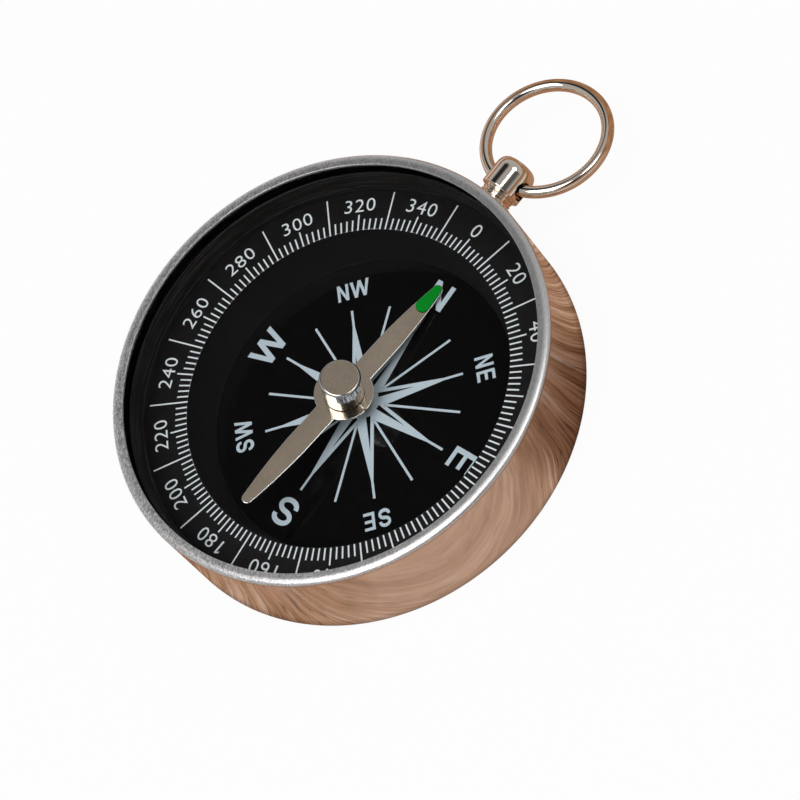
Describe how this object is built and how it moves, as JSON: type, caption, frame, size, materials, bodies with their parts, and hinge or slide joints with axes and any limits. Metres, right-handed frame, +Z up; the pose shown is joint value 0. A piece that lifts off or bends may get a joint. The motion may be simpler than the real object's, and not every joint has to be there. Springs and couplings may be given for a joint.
{
  "type": "compass keychain",
  "caption": "Round metal pocket compass with a dipping needle in a deep black well under a clear crystal, and a stem post that carries a loose wire ring.",
  "frame": {"origin": "middle of the flat back face", "axes": "+Z up through the dial, +Y towards the stem and ring, +X towards the dial's east"},
  "size_m": [0.0456, 0.0609, 0.0104],
  "materials": {
    "polished_case": "mirror-polished sheet metal",
    "satin_back": "fine satin",
    "satin_bezel": "satin with fine cross marks",
    "clear_crystal": "clear, polished",
    "black_moulding": "smooth black",
    "printed_dial": "black card with pale print",
    "brass_pin": "turned",
    "steel_blade": "satin with bright edges",
    "polished_fittings": "polished nickel plate",
    "jewel_glass": "polished",
    "green_paint": "smooth paint film"
  },
  "bodies": {
    "case": {"case_body": "polished_case", "back_plate": "satin_back", "bezel_ring": "satin_bezel", "crystal": "clear_crystal", "spacer_sleeve": "black_moulding", "scale_ring": "black_moulding", "dial_card": "printed_dial", "pivot_pin": "brass_pin", "stem_post": "polished_fittings", "stem_collar": "polished_fittings", "stem_nut": "polished_fittings"},
    "needle": {"needle_blade": "steel_blade", "needle_collar": "polished_fittings", "needle_cap": "polished_fittings", "needle_jewel": "jewel_glass", "north_tip": "green_paint"},
    "ring": {"key_ring": "polished_fittings"}
  },
  "joints": [
    {"name": "needle_spin", "type": "hinge", "parent": "case", "child": "needle", "pos_m": [0, 0, 0.006], "axis": [0, 0, 1], "continuous": true},
    {"name": "ring_swing", "type": "hinge", "parent": "case", "child": "ring", "pos_m": [0, 0.0253, 0.0052], "axis": [1, 0, 0], "range_deg": [-112, 120]}
  ]
}
